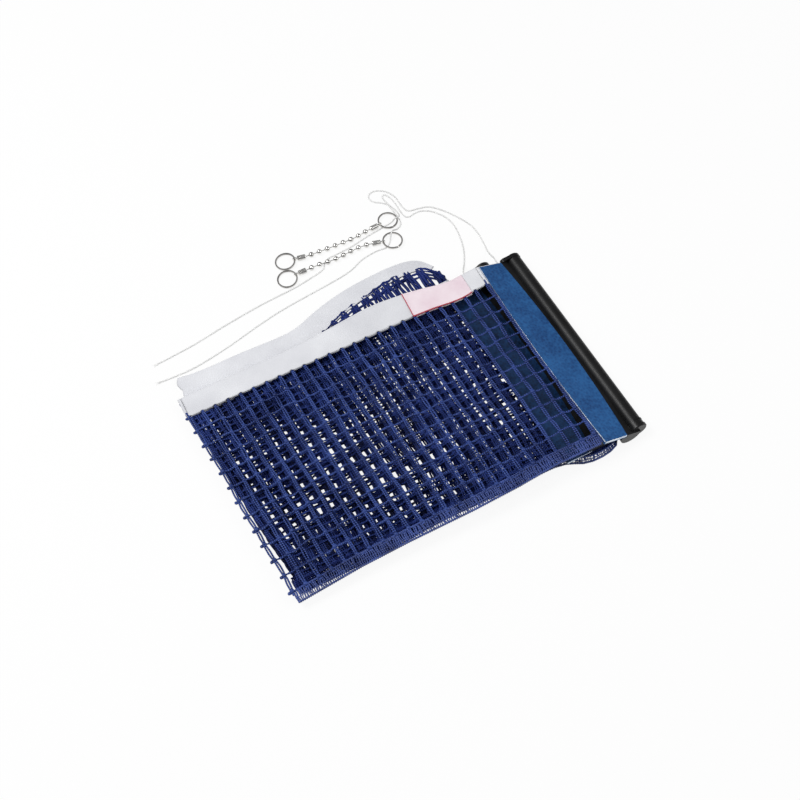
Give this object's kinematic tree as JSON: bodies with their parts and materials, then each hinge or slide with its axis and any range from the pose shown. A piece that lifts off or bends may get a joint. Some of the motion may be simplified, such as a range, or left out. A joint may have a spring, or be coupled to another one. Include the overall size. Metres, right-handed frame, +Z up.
{
  "type": "table tennis net",
  "caption": "Folded table tennis net with top tape, hem, clamped end plates and post rods, loose tension cord, and ball chains with split rings.",
  "frame": {"origin": "middle of the folded pack, on the surface that it lies on", "axes": "+X along the folded length towards the end plates and rods, +Y towards the top tape, +Z up"},
  "size_m": [0.2491, 0.253, 0.017],
  "materials": {
    "net": "knotted twine",
    "tape": "soft woven cloth",
    "tag": "woven tag",
    "cord": "braided cord",
    "plate": "blue hammered paint",
    "rod": "black, half gloss",
    "cap": "black moulding",
    "chain": "plated"
  },
  "bodies": {
    "folded_net": {"net_top_run": "net", "net_lower_runs": "net", "hem_top_run": "net", "hem_lower_runs": "net", "tape_top_run": "tape", "tape_lower_runs": "tape", "sewn_tag": "tag", "cord_in_tape": "cord", "lower_end_plate": "plate", "lower_post_rod": "rod", "lower_top_cap": "cap", "lower_foot_cap": "cap", "lower_net_end": "net", "lower_tape_end": "tape", "cord_from_lower_end": "cord", "cord_from_upper_end": "cord", "rear_tied_ring": "chain", "front_tied_ring": "chain"},
    "upper_end": {"upper_end_plate": "plate", "upper_post_rod": "rod", "upper_top_cap": "cap", "upper_foot_cap": "cap", "upper_net_end": "net", "upper_tape_end": "tape"},
    "rear_tied_connector_body": {"rear_tied_connector": "chain"},
    "rear_ball_1_body": {"rear_ball_1": "chain"},
    "rear_ball_2_body": {"rear_ball_2": "chain"},
    "rear_ball_3_body": {"rear_ball_3": "chain"},
    "rear_ball_4_body": {"rear_ball_4": "chain"},
    "rear_ball_5_body": {"rear_ball_5": "chain"},
    "rear_ball_6_body": {"rear_ball_6": "chain"},
    "rear_ball_7_body": {"rear_ball_7": "chain"},
    "rear_ball_8_body": {"rear_ball_8": "chain"},
    "rear_free_connector_body": {"rear_free_connector": "chain"},
    "rear_free_ring_body": {"rear_free_ring": "chain"},
    "front_tied_connector_body": {"front_tied_connector": "chain"},
    "front_ball_1_body": {"front_ball_1": "chain"},
    "front_ball_2_body": {"front_ball_2": "chain"},
    "front_ball_3_body": {"front_ball_3": "chain"},
    "front_ball_4_body": {"front_ball_4": "chain"},
    "front_ball_5_body": {"front_ball_5": "chain"},
    "front_ball_6_body": {"front_ball_6": "chain"},
    "front_ball_7_body": {"front_ball_7": "chain"},
    "front_ball_8_body": {"front_ball_8": "chain"},
    "front_free_connector_body": {"front_free_connector": "chain"},
    "front_free_ring_body": {"front_free_ring": "chain"}
  },
  "joints": [
    {"name": "upper_end_swing", "type": "hinge", "parent": "folded_net", "child": "upper_end", "pos_m": [0.08773, 0, 0.01716], "axis": [0, -1, 0], "range_deg": [0, 150]},
    {"name": "rear_tied_connector_lift", "type": "hinge", "parent": "folded_net", "child": "rear_tied_connector_body", "pos_m": [0.05492, 0.12885, 0.0019], "axis": [-0.0698, 0.9976, 0], "range_deg": [0, 35]},
    {"name": "rear_ball_1_bend", "type": "hinge", "parent": "rear_tied_connector_body", "child": "rear_ball_1_body", "pos_m": [0.04494, 0.12815, 0.0019], "axis": [-0.1736, 0.9848, 0], "range_deg": [0, 20]},
    {"name": "rear_ball_2_bend", "type": "hinge", "parent": "rear_ball_1_body", "child": "rear_ball_2_body", "pos_m": [0.03913, 0.12712, 0.0019], "axis": [-0.0698, 0.9976, 0], "range_deg": [0, 20]},
    {"name": "rear_ball_3_bend", "type": "hinge", "parent": "rear_ball_2_body", "child": "rear_ball_3_body", "pos_m": [0.03324, 0.12671, 0.0019], "axis": [0.0349, 0.9994, 0], "range_deg": [0, 20]},
    {"name": "rear_ball_4_bend", "type": "hinge", "parent": "rear_ball_3_body", "child": "rear_ball_4_body", "pos_m": [0.02735, 0.12692, 0.0019], "axis": [0.0349, 0.9994, 0], "range_deg": [0, 20]},
    {"name": "rear_ball_5_bend", "type": "hinge", "parent": "rear_ball_4_body", "child": "rear_ball_5_body", "pos_m": [0.02145, 0.12712, 0.0019], "axis": [0.0349, 0.9994, 0], "range_deg": [0, 20]},
    {"name": "rear_ball_6_bend", "type": "hinge", "parent": "rear_ball_5_body", "child": "rear_ball_6_body", "pos_m": [0.01555, 0.12733, 0.0019], "axis": [0.0523, 0.9986, 0], "range_deg": [0, 20]},
    {"name": "rear_ball_7_bend", "type": "hinge", "parent": "rear_ball_6_body", "child": "rear_ball_7_body", "pos_m": [0.00966, 0.12764, 0.0019], "axis": [0.0698, 0.9976, 0], "range_deg": [0, 20]},
    {"name": "rear_ball_8_bend", "type": "hinge", "parent": "rear_ball_7_body", "child": "rear_ball_8_body", "pos_m": [0.00378, 0.12805, 0.0019], "axis": [0.1045, 0.9945, 0], "range_deg": [0, 20]},
    {"name": "rear_free_connector_bend", "type": "hinge", "parent": "rear_ball_8_body", "child": "rear_free_connector_body", "pos_m": [-0.00209, 0.12867, 0.0019], "axis": [0.1908, 0.9816, 0], "range_deg": [0, 20]},
    {"name": "rear_free_ring_swing", "type": "hinge", "parent": "rear_free_connector_body", "child": "rear_free_ring_body", "pos_m": [-0.00955, 0.13012, 0.0019], "axis": [0.2588, 0.9659, 0], "range_deg": [0, 110]},
    {"name": "front_tied_connector_lift", "type": "hinge", "parent": "folded_net", "child": "front_tied_connector_body", "pos_m": [0.04988, 0.1144, 0.0019], "axis": [0.2924, 0.9563, 0], "range_deg": [0, 35]},
    {"name": "front_ball_1_bend", "type": "hinge", "parent": "front_tied_connector_body", "child": "front_ball_1_body", "pos_m": [0.04032, 0.11732, 0.0019], "axis": [0.1219, 0.9925, 0], "range_deg": [0, 20]},
    {"name": "front_ball_2_bend", "type": "hinge", "parent": "front_ball_1_body", "child": "front_ball_2_body", "pos_m": [0.03447, 0.11804, 0.0019], "axis": [-0.0175, 0.9998, 0], "range_deg": [0, 20]},
    {"name": "front_ball_3_bend", "type": "hinge", "parent": "front_ball_2_body", "child": "front_ball_3_body", "pos_m": [0.02857, 0.11794, 0.0019], "axis": [-0.1045, 0.9945, 0], "range_deg": [0, 20]},
    {"name": "front_ball_4_bend", "type": "hinge", "parent": "front_ball_3_body", "child": "front_ball_4_body", "pos_m": [0.0227, 0.11732, 0.0019], "axis": [-0.0698, 0.9976, 0], "range_deg": [0, 20]},
    {"name": "front_ball_5_bend", "type": "hinge", "parent": "front_ball_4_body", "child": "front_ball_5_body", "pos_m": [0.01681, 0.11691, 0.0019], "axis": [0.0523, 0.9986, 0], "range_deg": [0, 20]},
    {"name": "front_ball_6_bend", "type": "hinge", "parent": "front_ball_5_body", "child": "front_ball_6_body", "pos_m": [0.01092, 0.11722, 0.0019], "axis": [0.1045, 0.9945, 0], "range_deg": [0, 20]},
    {"name": "front_ball_7_bend", "type": "hinge", "parent": "front_ball_6_body", "child": "front_ball_7_body", "pos_m": [0.00505, 0.11784, 0.0019], "axis": [0.0698, 0.9976, 0], "range_deg": [0, 20]},
    {"name": "front_ball_8_bend", "type": "hinge", "parent": "front_ball_7_body", "child": "front_ball_8_body", "pos_m": [-0.00083, 0.11825, 0.0019], "axis": [0, 1, 0], "range_deg": [0, 20]},
    {"name": "front_free_connector_bend", "type": "hinge", "parent": "front_ball_8_body", "child": "front_free_connector_body", "pos_m": [-0.00673, 0.11825, 0.0019], "axis": [-0.0175, 0.9998, 0], "range_deg": [0, 20]},
    {"name": "front_free_ring_swing", "type": "hinge", "parent": "front_free_connector_body", "child": "front_free_ring_body", "pos_m": [-0.01433, 0.11812, 0.0019], "axis": [-0.0175, 0.9998, 0], "range_deg": [0, 110]}
  ]
}
